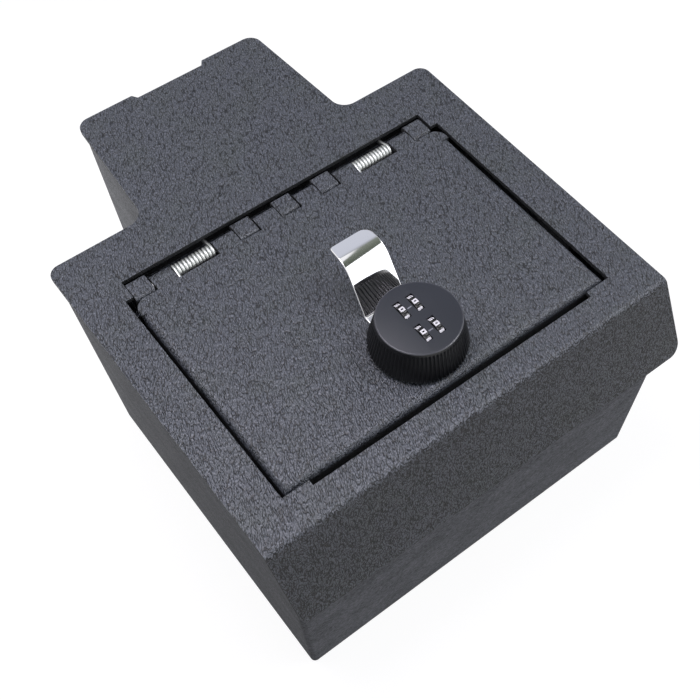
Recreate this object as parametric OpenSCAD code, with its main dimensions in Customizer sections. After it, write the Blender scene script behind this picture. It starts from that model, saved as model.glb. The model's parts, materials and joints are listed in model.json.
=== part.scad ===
// Vehicle console safe: a T-shaped steel box with a spring-hinged door, a dial knob and a lift tab.
// X runs left to right, Y runs from the front flange to the rear tongue, Z is up.
// Inside the modules, y = 0 is the plate's front bend and z = 0 is the top of the plate.

/* [Top plate] */
// Width of the top plate, left to right
plate_w = 270; // [260:1:290]
// Depth of the top plate, from the front bend to its back edge
plate_d = 215; // [208:1:235]
// Thickness of the steel sheet that the case and the door are folded from
sheet_t = 2.7; // [2.3:0.1:3]
// Radius of the plate's two back corners
plate_corner_r = 7; // [4:0.5:10]

/* [Front flange] */
// Length of the flange's flat, down its slope
flange_len = 45; // [36:1:55]
// Angle that the flange is folded down from the plate
flange_angle = 56.5; // [50:0.5:65]
// Outer radius of the fold
flange_bend_r = 4.6; // [4:0.2:7]
// Radius of the flange's lower left corner
flange_left_corner_r = 4.6; // [3:0.2:12]
// Radius of the flange's lower right corner
flange_right_corner_r = 7.8; // [3:0.2:12]

/* [Rear tongue] */
// How far the tongue reaches behind the plate's back edge
tongue_len = 91; // [70:1:110]
// Width of the tongue where it leaves the plate
tongue_root_w = 142.6; // [130:0.2:156]
// Width of the tongue at its end
tongue_end_w = 131.6; // [118:0.2:142]
// Radius of the tongue's two end corners
tongue_corner_r = 8.5; // [5:0.5:12]
// Radius of the two inner corners where the tongue meets the plate
tongue_root_r = 10; // [6:0.5:14]
// Width of the shallow notch in the tongue's end, at its bottom
end_notch_w = 47; // [30:1:60]
// Depth of that notch
end_notch_depth = 3.8; // [2:0.2:5]
// Width of the slope at each side of that notch
end_notch_slope = 2.5; // [1:0.5:4]

/* [Box walls] */
// Height of the safe, from its floor to the top of the plate
case_h = 153; // [110:1:180]
// How far the side walls stand in from the plate's edges
side_inset = 2.3; // [1:0.1:5]
// How far the back walls stand in from the plate's back edges
back_inset = 2.8; // [1:0.1:5]
// How far the front wall stands ahead of the plate's bend
front_throw = 18.5; // [12:0.5:21]
// Outer radius of the upright folds in the walls
wall_bend_r = 3.3; // [3.1:0.1:6]
// Corner cut of the floor, left for the weld
floor_corner_cut = 3; // [1.5:0.5:5]
// Bolt spacing across the floor
bolt_spacing_x = 160; // [100:5:200]
// Bolt spacing along the floor
bolt_spacing_y = 110; // [80:5:150]
// Distance from the plate's bend to the middle of the bolt pattern
bolt_centre_y = 95; // [80:1:110]
// Diameter of the floor's bolt holes
bolt_hole_d = 9; // [6:0.5:12]

/* [Door opening] */
// Width of the opening
opening_w = 220.6; // [210:0.2:226]
// Distance from the plate's bend to the opening
opening_front = 18.5; // [16:0.5:22]
// Depth of the opening, up to the hinge slot
opening_d = 151; // [140:1:154]
// Width of the recess in the opening's front edge
recess_w = 187.8; // [150:0.2:200]
// Depth of that recess
recess_depth = 3.6; // [2:0.2:5]
// Width of the hinge slot behind the opening
slot_w = 210.6; // [204:0.2:209.4]
// Depth of the hinge slot
slot_depth = 13; // [12:0.5:15]

/* [Door] */
// Gap between the door and the sides of the opening
door_side_gap = 2.3; // [1:0.1:3.5]
// Gap between the door and the front of the opening
door_front_gap = 0.9; // [0.6:0.1:2]
// Depth of the door's folded lips, from its top face
door_lip = 12; // [8:0.5:12.5]
// Outer radius of the folds along the lips
door_bend_r = 4.4; // [3.5:0.1:5.5]
// Radius of the door's two rear corners
door_corner_r = 7.5; // [5:0.5:9]
// Length of flat door between the side lips and the hinge edge
lip_rear_gap = 10; // [9:0.5:16]

/* [Hinge] */
// Diameter of the hinge pin
pin_d = 5; // [4:0.1:5.2]
// Radial clearance of the pin in the door's curls
curl_clearance = 0.1; // [0.05:0.01:0.2]
// Radial clearance of the pin in the case's blocks
block_clearance = 0.03; // [0.02:0.01:0.1]
// Width of each hinge block
block_w = 12.4; // [10:0.2:14]
// Depth of each hinge block, front to back
block_d = 13.6; // [13.4:0.1:14]
// Radius along the front and back top edges of the blocks
block_edge_r = 2; // [1.8:0.1:3]
// Gap between the blocks and the back of the hinge slot
block_back_gap = 2.3; // [1.5:0.1:3]
// Gap between the blocks and the door in front of them
block_front_gap = 1.1; // [0.8:0.05:1.5]
// Gap on the left of each block
block_gap_left = 0.6; // [0.3:0.1:1]
// Gap on the right of each block
block_gap_right = 1; // [0.5:0.1:1.6]
// Distance between the three middle blocks
block_pitch = 28.4; // [26:0.2:32]
// Distance of the two outer blocks from the hinge's middle
block_outer_x = 97.9; // [94:0.1:98]
// How far the hinge's middle lies to the right of the plate's middle
hinge_shift = -0.9; // [-1:0.1:0.5]
// Gap between the bottom of the curls and the rail below them
rail_drop = 2.4; // [2:0.1:4]
// How far the rail's upright stands behind the hinge slot
rail_back = 5.5; // [4.5:0.5:8]
// How far the rail runs past the hinge slot at each end
rail_overlap = 6; // [3:0.5:12]

/* [Springs] */
// Diameter of the spring wire
wire_d = 1.8; // [1.4:0.1:1.8]
// Mean radius of the coils
coil_r = 3.9; // [3.7:0.05:3.95]
// Distance from one coil to the next
coil_pitch = 2.27; // [2.25:0.01:2.35]
// Number of coils in each spring
coil_turns = 11; // [6:1:11]
// Distance of each spring from the hinge's middle
spring_x = 63.5; // [60:0.5:68]
// Length of the spring's leg under the door
leg_reach = 26; // [18:1:34]
// Gap between a spring and each end of its notch
spring_end_gap = 0.5; // [0.3:0.1:1]
// Gap between a spring's leg and the plate that it presses on
leg_gap = 0.3; // [0.2:0.05:0.5]

/* [Lift tab] */
// Width of the tab at the knob
tab_root_w = 29.6; // [26:0.2:32]
// Width of the tab at its tip
tab_tip_w = 24.8; // [22:0.2:28]
// Thickness of the tab's strip
tab_t = 2; // [1.5:0.1:2.5]
// Height of the tab's tip above the door
tab_h = 27.4; // [22:0.2:34]
// Slope of the tab's rising part
tab_slope = 56.5; // [50:0.5:65]
// Radius of the upper face in the bend at the foot of the slope
tab_low_r = 2; // [1:0.5:6]
// Radius of the upper face in the bend at the top of the slope
tab_high_r = 13; // [6:0.5:14]
// Length of the tab's flat tip
tab_flat = 7.8; // [6:0.2:12]
// Radius of the tip's left corner
tab_left_corner_r = 1.4; // [0.5:0.1:6]
// Radius of the tip's right corner
tab_right_corner_r = 5.5; // [0.5:0.1:6]
// How far the tab reaches ahead of the knob's centre
tab_front = 17; // [14:0.5:20]

/* [Knob] */
// Distance from the plate's bend to the knob's centre
knob_y = 49.7; // [47:0.1:56]
// Radius of the knob at its base
knob_base_r = 27.7; // [26.5:0.1:30]
// Radius of the knob at its top
knob_top_r = 23; // [22.5:0.1:25]
// Height of the knob's top above the door
knob_top = 21.6; // [21:0.1:24]
// Gap between the knob and the tab under it
knob_gap = 0.3; // [0.2:0.05:0.6]
// Wall of the knob
knob_wall = 2.6; // [2:0.1:3]
// Thickness of the knob's top
knob_top_t = 1.3; // [1.2:0.1:2]
// Number of grip grooves round the knob
groove_count = 72; // [40:4:80]
// Radius of each grip groove
groove_r = 0.5; // [0.35:0.05:0.6]
// Height of the smooth band above the grooves
knob_band = 2.6; // [2:0.2:4]
// Chamfer of the knob's rim
rim_chamfer = 0.5; // [0.3:0.1:1]
// Thickness of the knob's base plate
base_t = 3; // [2.6:0.1:3.4]
// Diameter of the knob's three screws
knob_screw_d = 3; // [2.5:0.1:3]
// Distance of those screws from the knob's centre
knob_screw_r = 19; // [18.6:0.1:19.4]

/* [Dials] */
// Radius of each number wheel
dial_r = 7.6; // [6.5:0.1:7.7]
// Thickness of each number wheel
dial_t = 3.6; // [3:0.1:4]
// Height of the wheels above the knob's top
dial_proud = 1.2; // [0.8:0.1:1.4]
// Distance of each wheel from the knob's middle line
dial_x = 4.3; // [4.1:0.1:4.6]
// Distance of each wheel axle from the knob's centre
dial_y = 8.8; // [8.6:0.1:9.2]
// Diameter of the wheel axles
axle_d = 3; // [2.4:0.1:3.2]
// Radial clearance of the wheels on their axles
axle_clearance = 0.05; // [0.03:0.01:0.1]
// Gap on each side of a wheel
dial_gap = 0.25; // [0.2:0.05:0.3]
// Width of the webs that carry the axles
web_t = 3.5; // [2.5:0.1:4]
// Number of positions on each wheel
dial_marks = 10; // [8:1:10]
// Radius of the finger notches between the numbers
dial_notch_r = 0.45; // [0.3:0.05:0.6]
// Thickness of the detent spring
detent_t = 0.4; // [0.3:0.05:0.5]

/* [Lock] */
// Diameter of the lock barrel
barrel_d = 19; // [16:0.5:20]
// Clearance round the barrel in the door and the tab
barrel_clearance = 0.2; // [0.1:0.05:0.4]
// Diameter of the barrel's flange
barrel_flange_d = 24; // [22:0.5:25]
// Thickness of the barrel's flange
barrel_flange_t = 1.5; // [1:0.1:1.6]
// Length of the barrel below the door's top face
barrel_len = 15; // [14.5:0.1:18]
// Width across the flats of the barrel's nut
nut_flats = 24; // [22:0.5:26]
// Thickness of that nut
nut_t = 5.5; // [4:0.5:6]
// Diameter of the spindle
spindle_d = 8; // [7:0.2:9]
// Radial clearance of the spindle in the barrel
spindle_clearance = 0.05; // [0.03:0.01:0.1]
// Thickness of the latch cam
cam_t = 3; // [2.5:0.1:4]
// Width of the latch cam's arm
cam_w = 15; // [12:0.5:18]
// Radius of the latch cam's hub
cam_hub_r = 9; // [8:0.5:11]
// How far the latched cam reaches under the keeper
cam_bite = 8.5; // [5:0.5:10]
// Gap between the cam and the keeper above it
keeper_gap = 0.5; // [0.3:0.1:0.8]
// Width of the keeper
keeper_w = 90; // [50:1:120]
// Depth of the keeper's foot
keeper_foot = 14; // [11:0.5:16]

/* [Door rests] */
// Length of each door rest
rest_len = 26; // [15:1:40]
// Distance from the opening's front edge to the rests' middle
rest_y = 45; // [30:1:110]
// Gap between the rests and the door's lips
rest_gap = 0.3; // [0.2:0.05:0.5]
// Gap between a rest's upright and the edge of the opening
rest_back = 1.5; // [0.5:0.1:3]

/* [Hidden] */
$fn = 96;
// Overlap that carries a cutting tool past the face that it cuts
cut = 1;

// The opening, the slot and the hinge line
opening_back = opening_front + opening_d;
slot_back = opening_back + slot_depth;
hinge_y = slot_back - block_back_gap - block_d / 2;
curl_in_r = pin_d / 2 + curl_clearance;
curl_out_r = curl_in_r + sheet_t;
hinge_z = -curl_out_r;
block_xs = [for (x = [-block_outer_x, -block_pitch, 0, block_pitch, block_outer_x]) x + hinge_shift];
spring_xs = [hinge_shift - spring_x, hinge_shift + spring_x];
rail_z = hinge_z - curl_out_r - rail_drop;
rail_front = hinge_y - block_d / 2;

// The outline of the tongue
tongue_end_y = plate_d + tongue_len;
tongue_taper = (tongue_root_w - tongue_end_w) / 2 / tongue_len;
tongue_lean = atan(tongue_taper);
function tongue_half(y) = tongue_root_w / 2 - (y - plate_d) * tongue_taper;

// The front flange, from the end of its fold
flange_root = [-flange_bend_r * sin(flange_angle), flange_bend_r * (cos(flange_angle) - 1)];
flange_reach = -flange_root[0] + flange_len * cos(flange_angle);
mid_y = (tongue_end_y - flange_reach) / 2;

// The box walls
wall_half = plate_w / 2 - side_inset;
wall_back = plate_d - back_inset;
tongue_back = tongue_end_y - back_inset;

// The door
door_w = opening_w - 2 * door_side_gap;
door_front = opening_front + door_front_gap;
door_rear = hinge_y - block_d / 2 - block_front_gap;
lip_rear = door_rear - lip_rear_gap;

// The knob and the lock, by height above the door's top face
knob_bottom = tab_t + knob_gap;
knob_h = knob_top - knob_bottom;
knob_taper = (knob_base_r - knob_top_r) / knob_h;
knob_ceiling = knob_top - knob_top_t;
function knob_r_at(z) = knob_base_r - (z - knob_bottom) * knob_taper;
axle_z = knob_top + dial_proud - dial_r;
web_bottom = axle_z - axle_d / 2 - web_t / 2;
inner_web_half = dial_x - dial_t / 2 - dial_gap;
outer_web_x = dial_x + dial_t / 2 + dial_gap;
axle_len = 2 * (outer_web_x + web_t);
base_bottom = knob_bottom + knob_gap;
base_top = base_bottom + base_t;
base_edge_gap = 0.1;
flange_pocket_top = tab_t + barrel_flange_t + knob_gap;
detent_bottom = axle_z - dial_r - knob_gap - detent_t;
detent_w = 2 * (dial_x + dial_t / 2);
detent_overhang = 6.5;
detent_len = 2 * (dial_y + detent_overhang);
detent_pad_len = 4;
spindle_head_t = detent_bottom - base_top - knob_gap;
spindle_head_r = 8;
boss_r = 2.8;
screw_head_r = 2.6;
screw_head_t = 1.6;
screw_bite = 8;
screw_angles = [0, 120, 240];
washer_t = 1;
washer_r = 13;
cam_top = -barrel_len;
cam_bottom = cam_top - cam_t;
tang_d = spindle_d * 0.7;
tang_clearance = 0.05;
keeper_bottom = cam_top + keeper_gap;
keeper_y = opening_front - recess_depth;
cam_len = knob_y - (keeper_y - cam_bite);
cam_screw_d = 3.5;
cam_screw_clearance = 0.05;
cam_screw_bite = 9;
cam_washer_r = 6;
cam_head_r = 4.2;
cam_head_t = 3;
hex_r = 1.6;
bend_steps = 12;

// The lift tab from the side, measured from the knob's centre: its slope starts at the knob's edge
tab_fold = tan(tab_slope / 2);
tab_low_y = knob_base_r + tab_low_r * tab_fold;
tab_high_y = tab_low_y + (tab_h - tab_t) / tan(tab_slope);
tab_reach = tab_high_y + tab_high_r * tab_fold + tab_flat;

// The spring's route, as [y, z] round the hinge line
coil_len = coil_turns * coil_pitch;
notch_half = (coil_len + wire_d) / 2 + spring_end_gap;
wire_sides = 6;
curl_rings = 8;
leg_z = curl_out_r - sheet_t - wire_d / 2 - leg_gap;
leg_bend = [-(block_d / 2 + block_front_gap - leg_gap), leg_z];
edge_point = [slot_back - hinge_y, leg_z];
rear_end_y = slot_back - hinge_y + rail_back - 1;
// Angle of the line from point p that touches the top of the coil, rising towards it
function front_touch(p) = asin(coil_r / norm(p)) - atan2(p[1], -p[0]);
// The same from the coil's top down to point p behind it
function rear_touch(p) = asin(coil_r / norm(p)) - atan2(p[1], p[0]);
front_tilt = front_touch(leg_bend);
rear_tilt = rear_touch(edge_point);
coil_start = 90 + front_tilt;
coil_end = 90 - rear_tilt - 360 * coil_turns;
coil_rings = round((coil_start - coil_end) / 360 * curl_rings);
rear_tangent = [coil_r * sin(rear_tilt), coil_r * cos(rear_tilt)];
rear_slope = -tan(rear_tilt);
wire_path = concat(
    [[-coil_len / 2, -leg_reach, leg_z], [-coil_len / 2, -leg_reach + wire_d, leg_z],
     [-coil_len / 2, leg_bend[0], leg_bend[1]]],
    [for (i = [0 : coil_rings]) let (a = coil_start + (coil_end - coil_start) * i / coil_rings)
        [coil_len * (i / coil_rings - 0.5), coil_r * cos(a), coil_r * sin(a)]],
    [for (y = [rear_end_y - wire_d, rear_end_y])
        [coil_len / 2, y, rear_tangent[1] + (y - rear_tangent[0]) * rear_slope]]);
self_gap = min([for (i = [0 : len(wire_path) - 1]) for (j = [i + 5 : 1 : len(wire_path) - 1])
    norm(wire_path[i] - wire_path[j])]) - wire_d;
echo(spring_least_gap = self_gap);

coat = [0.25, 0.26, 0.29];
zinc = [0.75, 0.76, 0.76];
chrome = [0.86, 0.87, 0.88];
plastic = [0.10, 0.10, 0.11];
dial_black = [0.06, 0.06, 0.07];

function unit(v) = v / norm(v);

// From the plate's own frame to the part's frame, whose origin is under the middle of the safe
module in_case() translate([0, -mid_y, case_h]) children();

module in_knob() in_case() translate([0, knob_y, 0]) children();

// Draws [y, z] outlines and carries them from x0 to x1
module along_x(x0, x1) translate([x0, 0, 0]) rotate([90, 0, 90]) linear_extrude(x1 - x0) children();

// Draws [x, z] outlines and carries them from y0 to y1
module along_y(y0, y1) translate([0, y1, 0]) rotate([90, 0, 0]) linear_extrude(y1 - y0) children();

// Points along the arc of radius r that rounds corner p between a and b
function bend_points(a, p, b, r) =
    let (u = unit(a - p), v = unit(b - p), half = acos(u * v) / 2, centre = p + unit(u + v) * r / sin(half),
        from = p + u * r / tan(half) - centre, to = p + v * r / tan(half) - centre, turn = 180 - 2 * half)
    [for (i = [0 : bend_steps]) let (s = i / bend_steps)
        centre + (from * sin((1 - s) * turn) + to * sin(s * turn)) / sin(turn)];

// What cuts corner p to that arc, reaching past both of its edges
module corner_cutter(a, p, b, r) {
    arc = bend_points(a, p, b, r);
    n = bend_steps;
    polygon(concat([2 * arc[0] - arc[1]], arc, [2 * arc[n] - arc[n - 1], p - cut * (unit(a - p) + unit(b - p))]));
}

// The sliver between a square corner p and an arc that touches the edges p-a and p-b
module corner_sliver(a, p, b, r) {
    u = unit(a - p);
    v = unit(b - p);
    half = acos(u * v) / 2;
    difference() {
        polygon([p, p + u * r / tan(half), p + v * r / tan(half)]);
        translate(p + unit(u + v) * r / sin(half)) circle(r);
    }
}

// An outline whose square corners listed in round_off are cut to radius r
module soft_outline(pts, round_off, r) {
    n = len(pts);
    difference() {
        polygon(pts);
        for (i = round_off) corner_sliver(pts[(i + n - 1) % n], pts[i], pts[(i + 1) % n], r);
    }
}

module rect_between(x0, x1, y0, y1) translate([x0, y0]) square([x1 - x0, y1 - y0]);

module plate_outline() {
    w = plate_w / 2;
    n = end_notch_w / 2;
    back = [w, plate_d];
    root = [tongue_root_w / 2, plate_d];
    end = [tongue_end_w / 2, tongue_end_y];
    left_back = [-w, plate_d];
    left_root = [-root[0], plate_d];
    left_end = [-end[0], tongue_end_y];
    difference() {
        polygon(concat([[-w, 0], [w, 0], back], bend_points(back, root, end, tongue_root_r),
            bend_points(root, end, left_end, tongue_corner_r),
            bend_points(end, left_end, left_root, tongue_corner_r),
            bend_points(left_end, left_root, left_back, tongue_root_r), [left_back]));
        corner_sliver([w, 0], back, root, plate_corner_r);
        corner_sliver([-w, 0], left_back, left_root, plate_corner_r);
        polygon([[-n, tongue_end_y - end_notch_depth], [n, tongue_end_y - end_notch_depth],
            [n + end_notch_slope, tongue_end_y], [n + end_notch_slope, tongue_end_y + cut],
            [-n - end_notch_slope, tongue_end_y + cut], [-n - end_notch_slope, tongue_end_y]]);
    }
}

module door_hole() {
    rect_between(-opening_w / 2, opening_w / 2, opening_front, opening_back);
    rect_between(-recess_w / 2, recess_w / 2, opening_front - recess_depth, opening_front + cut);
    rect_between(-slot_w / 2, slot_w / 2, opening_back - cut, slot_back);
}

// The bend and the flange's flat in one section, as a [y, z] outline
module flange_section() {
    down = [-cos(flange_angle), -sin(flange_angle)];
    fold = tan(flange_angle / 2);
    inner_r = flange_bend_r - sheet_t;
    tip = flange_root + flange_len * down;
    inner_tip = tip + sheet_t * [-down[1], down[0]];
    polygon(concat(bend_points([0, 0], [-flange_bend_r * fold, 0], tip, flange_bend_r), [tip, inner_tip],
        bend_points(inner_tip, [-inner_r * fold, -sheet_t], [0, -sheet_t], inner_r)));
}

module top_plate() color(coat) in_case() {
    translate([0, 0, -sheet_t]) linear_extrude(sheet_t) difference() {
        plate_outline();
        door_hole();
    }
    difference() {
        along_x(-plate_w / 2, plate_w / 2) flange_section();
        translate([0, flange_root[0], flange_root[1]]) rotate([flange_angle, 0, 0])
            translate([0, 0, -sheet_t - cut]) linear_extrude(sheet_t + 2 * cut) for (s = [0, 1]) mirror([s, 0])
                corner_cutter([plate_w / 2, 0], [plate_w / 2, -flange_len], [0, -flange_len],
                    s == 0 ? flange_right_corner_r : flange_left_corner_r);
    }
}

// The space under the plate and behind the flange, as a [y, z] outline
module under_sheet() {
    r = flange_bend_r - sheet_t;
    fold = [-r * sin(flange_angle), r * cos(flange_angle) - flange_bend_r];
    front = -front_throw - cut;
    polygon([[0, -sheet_t], fold, [front, fold[1] - (fold[0] - front) * tan(flange_angle)],
        [front, -case_h], [tongue_end_y, -case_h], [tongue_end_y, -sheet_t]]);
}

module main_walls(inset) {
    w = wall_half - inset;
    soft_outline([[-w, -front_throw + inset], [w, -front_throw + inset], [w, wall_back - inset],
        [-w, wall_back - inset]], [0, 1, 2, 3], wall_bend_r - inset);
}

// The tongue's walls start at the inner face of the main back walls
module tongue_walls(inset, start) {
    side = (side_inset + inset) / cos(tongue_lean);
    end_y = tongue_back - inset;
    a = tongue_half(start) - side;
    b = tongue_half(end_y) - side;
    r = wall_bend_r - inset;
    polygon(concat([[-a, start], [a, start]], bend_points([a, start], [b, end_y], [-b, end_y], r),
        bend_points([b, end_y], [-b, end_y], [-a, start], r)));
}

module wall_wrap() color(coat) in_case() intersection() {
    translate([0, 0, -case_h]) linear_extrude(case_h) difference() {
        main_walls(0);
        main_walls(sheet_t);
        tongue_walls(0, wall_back - sheet_t);
    }
    along_x(-plate_w, plate_w) under_sheet();
}

module tongue_wrap() color(coat) in_case() translate([0, 0, -case_h]) linear_extrude(case_h - sheet_t)
    difference() {
        tongue_walls(0, wall_back - sheet_t);
        tongue_walls(sheet_t, wall_back - sheet_t - cut);
    }

module floor_plate() color(coat) in_case() {
    w = wall_half - sheet_t;
    c = floor_corner_cut;
    front = -front_throw + sheet_t;
    back = wall_back - sheet_t;
    end_y = tongue_back - sheet_t;
    side = (side_inset + sheet_t) / cos(tongue_lean);
    a = tongue_half(back) - side;
    b = tongue_half(end_y) - side;
    translate([0, 0, -case_h]) difference() {
        linear_extrude(sheet_t) polygon([[-w + c, front], [w - c, front], [w, front + c], [w, back - c],
            [w - c, back], [a, back], [b + c * tongue_taper, end_y - c], [b - c, end_y], [c - b, end_y],
            [-b - c * tongue_taper, end_y - c], [-a, back], [c - w, back], [-w, back - c], [-w, front + c]]);
        for (x = [-1, 1], y = [-1, 1])
            translate([x * bolt_spacing_x / 2, bolt_centre_y + y * bolt_spacing_y / 2, -cut])
                cylinder(d = bolt_hole_d, h = sheet_t + 2 * cut);
    }
}

module hinge_rail() color(coat) in_case() along_x(-slot_w / 2 - rail_overlap, slot_w / 2 + rail_overlap) {
    rect_between(rail_front, slot_back + rail_back + sheet_t, rail_z - sheet_t, rail_z);
    rect_between(slot_back + rail_back, slot_back + rail_back + sheet_t, rail_z - sheet_t, -sheet_t);
}

module hinge_blocks() color(coat) in_case() for (x = block_xs) along_x(x - block_w / 2, x + block_w / 2)
    difference() {
        soft_outline([[hinge_y - block_d / 2, rail_z], [hinge_y + block_d / 2, rail_z],
            [hinge_y + block_d / 2, 0], [hinge_y - block_d / 2, 0]], [2, 3], block_edge_r);
        translate([hinge_y, hinge_z]) circle(pin_d / 2 + block_clearance);
    }

module hinge_pin() color(zinc) in_case()
    along_x(block_xs[0] - block_w / 2, block_xs[4] + block_w / 2)
        translate([hinge_y, hinge_z]) circle(d = pin_d);

// A tube of round wire along a path of points
module wire(path) {
    n = len(path);
    tangents = [for (i = [0 : n - 1]) unit(path[min(i + 1, n - 1)] - path[max(i - 1, 0)])];
    rings = [for (i = [0 : n - 1]) let (t = tangents[i], u = unit(cross(t, [1, 0, 0])), v = cross(t, u))
        for (k = [0 : wire_sides - 1]) let (a = 360 * k / wire_sides)
            path[i] + wire_d / 2 * (cos(a) * u + sin(a) * v)];
    sides = [for (i = [0 : n - 2]) for (k = [0 : wire_sides - 1])
        let (a = i * wire_sides + k, b = i * wire_sides + (k + 1) % wire_sides)
            each [[a, a + wire_sides, b], [b, a + wire_sides, b + wire_sides]]];
    polyhedron(rings, concat([[for (k = [0 : wire_sides - 1]) k]], sides,
        [[for (k = [wire_sides - 1 : -1 : 0]) (n - 1) * wire_sides + k]]));
}

module torsion_spring(x) color(zinc) in_case() translate([x, hinge_y, hinge_z]) wire(wire_path);

module spring_left() torsion_spring(spring_xs[0]);

module spring_right() torsion_spring(spring_xs[1]);

// An angle under the plate's front edge: the cam turns in under its foot
module latch_keeper() color(coat) in_case() along_x(-keeper_w / 2, keeper_w / 2) {
    rect_between(keeper_y - sheet_t, keeper_y, keeper_bottom, -sheet_t);
    rect_between(keeper_y - keeper_foot, keeper_y, keeper_bottom, keeper_bottom + sheet_t);
}

// A small angle on each side, whose ledge the door's lip comes down on
module door_rests() color(coat) in_case() for (s = [0, 1]) mirror([s, 0, 0])
    along_y(opening_front + rest_y - rest_len / 2, opening_front + rest_y + rest_len / 2) {
        upright = opening_w / 2 + rest_back;
        ledge = -door_lip - rest_gap;
        rect_between(upright, upright + sheet_t, ledge - sheet_t, -sheet_t);
        rect_between(door_w / 2 - 2 * sheet_t, upright + sheet_t, ledge - sheet_t, ledge);
    }

// The door's folded pan, or the hollow in it when inset is the sheet's thickness
module door_pan(inset) {
    w = door_w / 2 - inset;
    r = door_bend_r - inset;
    low = -door_lip - (inset > 0 ? cut : 0);
    rear = lip_rear + (inset > 0 ? cut : 0);
    intersection() {
        along_y(door_front + inset, rear)
            soft_outline([[-w, low], [w, low], [w, -inset], [-w, -inset]], [2, 3], r);
        along_x(-w, w)
            soft_outline([[door_front + inset, low], [rear, low], [rear, -inset],
                [door_front + inset, -inset]], [3], r);
    }
}

module door_panel() color(coat) in_case() {
    w = door_w / 2;
    curl_x0 = block_xs[0] + block_w / 2 + block_gap_right;
    curl_x1 = block_xs[4] - block_w / 2 - block_gap_left;
    difference() {
        union() {
            difference() {
                door_pan(0);
                door_pan(sheet_t);
            }
            translate([0, 0, -sheet_t]) linear_extrude(sheet_t)
                soft_outline([[-w, lip_rear], [w, lip_rear], [w, door_rear], [-w, door_rear]], [2, 3],
                    door_corner_r);
        }
        translate([0, knob_y, -sheet_t - cut])
            cylinder(r = barrel_d / 2 + barrel_clearance, h = sheet_t + 2 * cut);
    }
    difference() {
        along_x(curl_x0, curl_x1) difference() {
            union() {
                rect_between(door_rear, hinge_y, -sheet_t, 0);
                translate([hinge_y, hinge_z]) circle(curl_out_r);
            }
            translate([hinge_y, hinge_z]) circle(curl_in_r);
        }
        for (x = [block_xs[1], block_xs[2], block_xs[3]])
            translate([x - block_w / 2 - block_gap_left, door_rear, -2 * curl_out_r - cut])
                cube([block_w + block_gap_left + block_gap_right, block_d + curl_out_r, 2 * curl_out_r + 2 * cut]);
        for (x = spring_xs)
            translate([x - notch_half, door_rear, -2 * curl_out_r - cut])
                cube([2 * notch_half, block_d + curl_out_r, 2 * curl_out_r + 2 * cut]);
    }
}

// The tab's strip from the side, as a [y, z] outline measured from the knob's centre
module tab_profile() {
    lean = tab_t * tab_fold;
    top = [[-tab_front, tab_t], [tab_low_y, tab_t], [tab_high_y, tab_h], [tab_reach, tab_h]];
    under = [[-tab_front, 0], [tab_low_y + lean, 0], [tab_high_y + lean, tab_h - tab_t],
        [tab_reach, tab_h - tab_t]];
    polygon(concat([top[0]], bend_points(top[0], top[1], top[2], tab_low_r),
        bend_points(top[1], top[2], top[3], tab_high_r), [top[3], under[3]],
        bend_points(under[3], under[2], under[1], tab_high_r - tab_t),
        bend_points(under[2], under[1], under[0], tab_low_r + tab_t), [under[0]]));
}

// The tab from above: tapered to its tip, whose right corner is the rounder one
module tab_outline() {
    root = [tab_root_w / 2, 0];
    tip = [tab_tip_w / 2, tab_reach];
    left_root = [-root[0], 0];
    left_tip = [-tip[0], tab_reach];
    polygon(concat([root], bend_points(root, tip, left_tip, tab_right_corner_r),
        bend_points(tip, left_tip, left_root, tab_left_corner_r), [left_root]));
}

module lift_tab() color(chrome) in_knob() difference() {
    intersection() {
        along_x(-tab_root_w, tab_root_w) tab_profile();
        union() {
            linear_extrude(tab_h + cut) tab_outline();
            linear_extrude(tab_t) soft_outline([[-tab_root_w / 2, -tab_front], [tab_root_w / 2, -tab_front],
                [tab_root_w / 2, 0], [-tab_root_w / 2, 0]], [0, 1], tab_root_w / 2 - cut);
        }
    }
    translate([0, 0, -cut]) cylinder(r = barrel_d / 2 + barrel_clearance, h = tab_t + 2 * cut);
}

module lock_barrel() color(zinc) in_knob() difference() {
    union() {
        translate([0, 0, tab_t]) cylinder(d = barrel_flange_d, h = barrel_flange_t);
        translate([0, 0, -barrel_len]) cylinder(d = barrel_d, h = barrel_len + tab_t);
    }
    translate([0, 0, -barrel_len - cut])
        cylinder(r = spindle_d / 2 + spindle_clearance, h = barrel_len + knob_top);
}

module barrel_washer() color(zinc) in_knob() translate([0, 0, -sheet_t - washer_t]) difference() {
    cylinder(r = washer_r, h = washer_t);
    translate([0, 0, -cut]) cylinder(r = barrel_d / 2 + barrel_clearance, h = washer_t + 2 * cut);
}

module barrel_nut() color(zinc) in_knob() translate([0, 0, -sheet_t - washer_t - nut_t]) difference() {
    cylinder(d = nut_flats / cos(30), h = nut_t, $fn = 6);
    translate([0, 0, -cut]) cylinder(r = barrel_d / 2 + tang_clearance, h = nut_t + 2 * cut);
}

// Half of the knob's section, from its bottom to its top
module knob_section() polygon([
    [knob_base_r - knob_wall, knob_bottom], [knob_base_r, knob_bottom],
    [knob_r_at(knob_top - rim_chamfer), knob_top - rim_chamfer], [knob_top_r - rim_chamfer, knob_top],
    [0, knob_top], [0, knob_ceiling], [knob_r_at(knob_ceiling) - knob_wall, knob_ceiling]]);

module grip_grooves() for (i = [0 : groove_count - 1]) rotate(360 / groove_count * i)
    translate([knob_base_r, 0, knob_bottom]) rotate([0, -atan(knob_taper), 0])
        translate([0, 0, -cut]) cylinder(r = groove_r, h = knob_h - knob_band + cut, $fn = 16);

// The webs under the knob's top that carry one wheel axle, the windows' sides included
module axle_webs(y) for (x = [-outer_web_x - web_t, -inner_web_half, outer_web_x])
    translate([x, y - axle_d, web_bottom])
        cube([x == -inner_web_half ? 2 * inner_web_half : web_t, 2 * axle_d, knob_ceiling - web_bottom]);

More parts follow.
